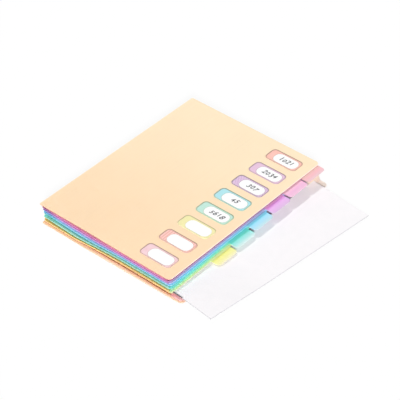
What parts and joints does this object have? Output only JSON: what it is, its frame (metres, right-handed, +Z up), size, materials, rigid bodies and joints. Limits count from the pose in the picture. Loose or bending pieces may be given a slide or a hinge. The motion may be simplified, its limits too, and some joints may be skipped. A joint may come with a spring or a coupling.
{
  "type": "expanding file folder",
  "caption": "Expanding file folder: stiff covers and tabbed film dividers joined by folding gussets into pockets, with index labels on the front cover and a loose paper sheet.",
  "frame": {"origin": "on the back cover's underside, which lies on the table, midway along the stack that lies on it", "axes": "+X from the spine to the open mouth, +Y along the spine towards the first tab, +Z up through the front cover"},
  "size_m": [0.338, 0.3215, 0.0278],
  "materials": {
    "film_peach": "frosted polypropylene, satin",
    "film_coral_pink": "frosted polypropylene, satin",
    "film_pink": "frosted polypropylene, satin",
    "film_orchid": "frosted polypropylene, satin",
    "film_sky_blue": "frosted polypropylene, satin",
    "film_teal": "frosted polypropylene, satin",
    "film_yellow": "frosted polypropylene, satin",
    "film_coral": "frosted polypropylene, satin",
    "film_rose": "frosted polypropylene, satin",
    "paper": "matt office paper"
  },
  "bodies": {
    "base": {"back_cover": "film_peach", "divider_8": "film_rose", "bottom_gusset_8": "film_rose", "top_gusset_8": "film_rose", "spine_fold_8": "film_rose"},
    "leaf_7": {"divider_7": "film_coral", "bottom_gusset_7": "film_coral", "top_gusset_7": "film_coral", "spine_fold_7": "film_coral"},
    "leaf_6": {"divider_6": "film_yellow", "bottom_gusset_6": "film_yellow", "top_gusset_6": "film_yellow", "spine_fold_6": "film_yellow"},
    "leaf_5": {"divider_5": "film_teal", "bottom_gusset_5": "film_teal", "top_gusset_5": "film_teal", "spine_fold_5": "film_teal"},
    "leaf_4": {"divider_4": "film_sky_blue", "bottom_gusset_4": "film_sky_blue", "top_gusset_4": "film_sky_blue", "spine_fold_4": "film_sky_blue"},
    "leaf_3": {"divider_3": "film_orchid", "bottom_gusset_3": "film_orchid", "top_gusset_3": "film_orchid", "spine_fold_3": "film_orchid"},
    "leaf_2": {"divider_2": "film_pink", "bottom_gusset_2": "film_pink", "top_gusset_2": "film_pink", "spine_fold_2": "film_pink"},
    "leaf_1": {"divider_1": "film_coral_pink", "bottom_gusset_1": "film_coral_pink", "top_gusset_1": "film_coral_pink", "spine_fold_1": "film_coral_pink"},
    "lid": {"front_cover": "film_peach", "label_1": "film_coral_pink", "label_2": "film_pink", "label_3": "film_orchid", "label_4": "film_sky_blue", "label_5": "film_teal", "label_6": "film_yellow", "label_7": "film_coral", "label_8": "film_rose"},
    "sheet": {"document_sheet": "paper"}
  },
  "joints": [
    {"name": "pocket_8", "type": "hinge", "parent": "base", "child": "leaf_7", "pos_m": [-0.11515, 0, 0.0026], "axis": [0, -1, 0], "range_deg": [0, 5], "deforming": ["bottom_gusset_8", "top_gusset_8", "spine_fold_8"]},
    {"name": "pocket_7", "type": "hinge", "parent": "leaf_7", "child": "leaf_6", "pos_m": [-0.1161, 0, 0.00605], "axis": [0, -1, 0], "range_deg": [0, 5], "deforming": ["bottom_gusset_7", "top_gusset_7", "spine_fold_7"]},
    {"name": "pocket_6", "type": "hinge", "parent": "leaf_6", "child": "leaf_5", "pos_m": [-0.11705, 0, 0.01035], "axis": [0, -1, 0], "range_deg": [0, 5], "deforming": ["bottom_gusset_6", "top_gusset_6", "spine_fold_6"]},
    {"name": "pocket_5", "type": "hinge", "parent": "leaf_5", "child": "leaf_4", "pos_m": [-0.118, 0, 0.01465], "axis": [0, -1, 0], "range_deg": [0, 5], "deforming": ["bottom_gusset_5", "top_gusset_5", "spine_fold_5"]},
    {"name": "pocket_4", "type": "hinge", "parent": "leaf_4", "child": "leaf_3", "pos_m": [-0.11895, 0, 0.0186], "axis": [0, -1, 0], "range_deg": [0, 5], "deforming": ["bottom_gusset_4", "top_gusset_4", "spine_fold_4"]},
    {"name": "pocket_3", "type": "hinge", "parent": "leaf_3", "child": "leaf_2", "pos_m": [-0.1199, 0, 0.0218], "axis": [0, -1, 0], "range_deg": [0, 5], "deforming": ["bottom_gusset_3", "top_gusset_3", "spine_fold_3"]},
    {"name": "pocket_2", "type": "hinge", "parent": "leaf_2", "child": "leaf_1", "pos_m": [-0.12085, 0, 0.0241], "axis": [0, -1, 0], "range_deg": [0, 5], "deforming": ["bottom_gusset_2", "top_gusset_2", "spine_fold_2"]},
    {"name": "pocket_1", "type": "hinge", "parent": "leaf_1", "child": "lid", "pos_m": [-0.1218, 0, 0.02585], "axis": [0, -1, 0], "range_deg": [0, 5], "deforming": ["bottom_gusset_1", "top_gusset_1", "spine_fold_1"]},
    {"name": "sheet_slide", "type": "slide", "parent": "leaf_7", "child": "sheet", "axis": [0.9946, -0.1035, 0], "range_m": [0, 0.12]}
  ]
}
